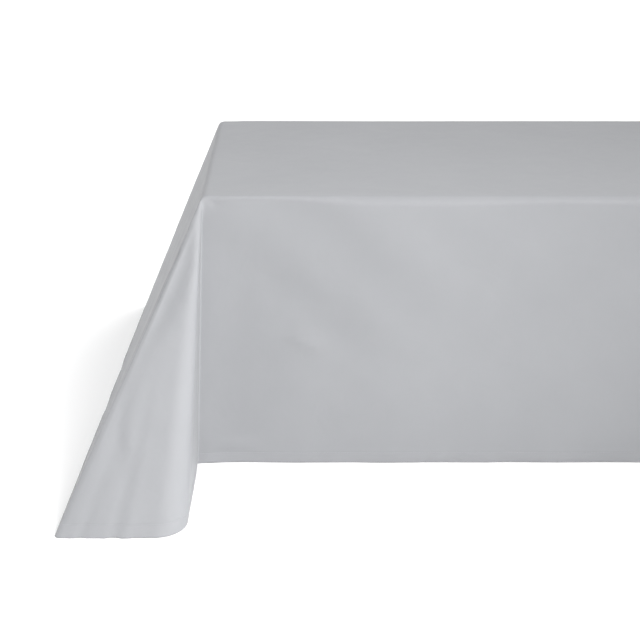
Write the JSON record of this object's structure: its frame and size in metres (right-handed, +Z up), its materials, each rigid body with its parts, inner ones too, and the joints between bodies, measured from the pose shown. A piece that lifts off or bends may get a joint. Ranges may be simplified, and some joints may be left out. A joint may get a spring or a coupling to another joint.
{
  "type": "tablecloth on a table",
  "caption": "Floor-length plain cloth over a rectangular folding table, its corners standing out as hollow ears and its ends drawn outwards.",
  "frame": {"origin": "on the floor, under the middle of the table", "axes": "+Z up, -Y towards the front long side, +X towards the right end"},
  "size_m": [2.555, 1.582, 0.7635],
  "materials": {
    "cloth": "smooth satin weave",
    "plywood": "sealed",
    "moulding": "matte",
    "frame_steel": "hammered powder coat",
    "zinc_steel": "zinc plated",
    "foot_rubber": "matte"
  },
  "bodies": {
    "table_top": {"top_panel": "plywood", "edge_moulding": "moulding", "long_rail_front": "frame_steel", "long_rail_back": "frame_steel", "end_rail_left": "frame_steel", "end_rail_right": "frame_steel", "hinge_bracket_left_front": "frame_steel", "hinge_bracket_left_back": "frame_steel", "hinge_bracket_right_front": "frame_steel", "hinge_bracket_right_back": "frame_steel", "bracket_screws": "zinc_steel", "rail_screws": "zinc_steel", "stay_anchor_left": "zinc_steel", "stay_anchor_right": "zinc_steel", "anchor_rivet_left": "zinc_steel", "anchor_rivet_right": "zinc_steel"},
    "cloth": {"tablecloth": "cloth"},
    "leg_left": {"hinge_tube_left": "frame_steel", "leg_tube_left_front": "frame_steel", "leg_tube_left_back": "frame_steel", "cross_bar_left": "frame_steel", "stay_tab_left": "zinc_steel", "foot_cap_left_front": "foot_rubber", "foot_cap_left_back": "foot_rubber", "tab_rivet_left": "zinc_steel"},
    "leg_right": {"hinge_tube_right": "frame_steel", "leg_tube_right_front": "frame_steel", "leg_tube_right_back": "frame_steel", "cross_bar_right": "frame_steel", "stay_tab_right": "zinc_steel", "foot_cap_right_front": "foot_rubber", "foot_cap_right_back": "foot_rubber", "tab_rivet_right": "zinc_steel"},
    "upper_stay_left": {"upper_link_left": "zinc_steel"},
    "upper_stay_right": {"upper_link_right": "zinc_steel"},
    "lower_stay_left": {"lower_link_left": "zinc_steel", "knee_rivet_left": "zinc_steel"},
    "lower_stay_right": {"lower_link_right": "zinc_steel", "knee_rivet_right": "zinc_steel"}
  },
  "joints": [
    {"name": "cloth_lift", "type": "slide", "parent": "table_top", "child": "cloth", "axis": [0, 0, 1], "range_m": [0, 0.8]},
    {"name": "leg_fold_left", "type": "hinge", "parent": "table_top", "child": "leg_left", "pos_m": [-0.7645, 0, 0.721], "axis": [0, -1, 0], "range_deg": [0, 90]},
    {"name": "upper_stay_fold_left", "type": "hinge", "parent": "table_top", "child": "upper_stay_left", "pos_m": [-0.3645, 0, 0.721], "axis": [0, -1, 0], "range_deg": [0, 146.99]},
    {"name": "lower_stay_fold_left", "type": "hinge", "parent": "leg_left", "child": "lower_stay_left", "pos_m": [-0.7645, 0, 0.461], "axis": [0, -1, 0], "range_deg": [-123.03, 0]},
    {"name": "leg_fold_right", "type": "hinge", "parent": "table_top", "child": "leg_right", "pos_m": [0.7645, 0, 0.721], "axis": [0, 1, 0], "range_deg": [0, 90]},
    {"name": "upper_stay_fold_right", "type": "hinge", "parent": "table_top", "child": "upper_stay_right", "pos_m": [0.3645, 0, 0.721], "axis": [0, 1, 0], "range_deg": [0, 146.99]},
    {"name": "lower_stay_fold_right", "type": "hinge", "parent": "leg_right", "child": "lower_stay_right", "pos_m": [0.7645, 0, 0.461], "axis": [0, 1, 0], "range_deg": [-123.03, 0]}
  ],
  "couplings": [
    {"joint": "upper_stay_fold_left", "follows": "leg_fold_left", "ratio": 1.6331},
    {"joint": "lower_stay_fold_left", "follows": "leg_fold_left", "ratio": -1.3669},
    {"joint": "upper_stay_fold_right", "follows": "leg_fold_right", "ratio": 1.6331},
    {"joint": "lower_stay_fold_right", "follows": "leg_fold_right", "ratio": -1.3669}
  ]
}
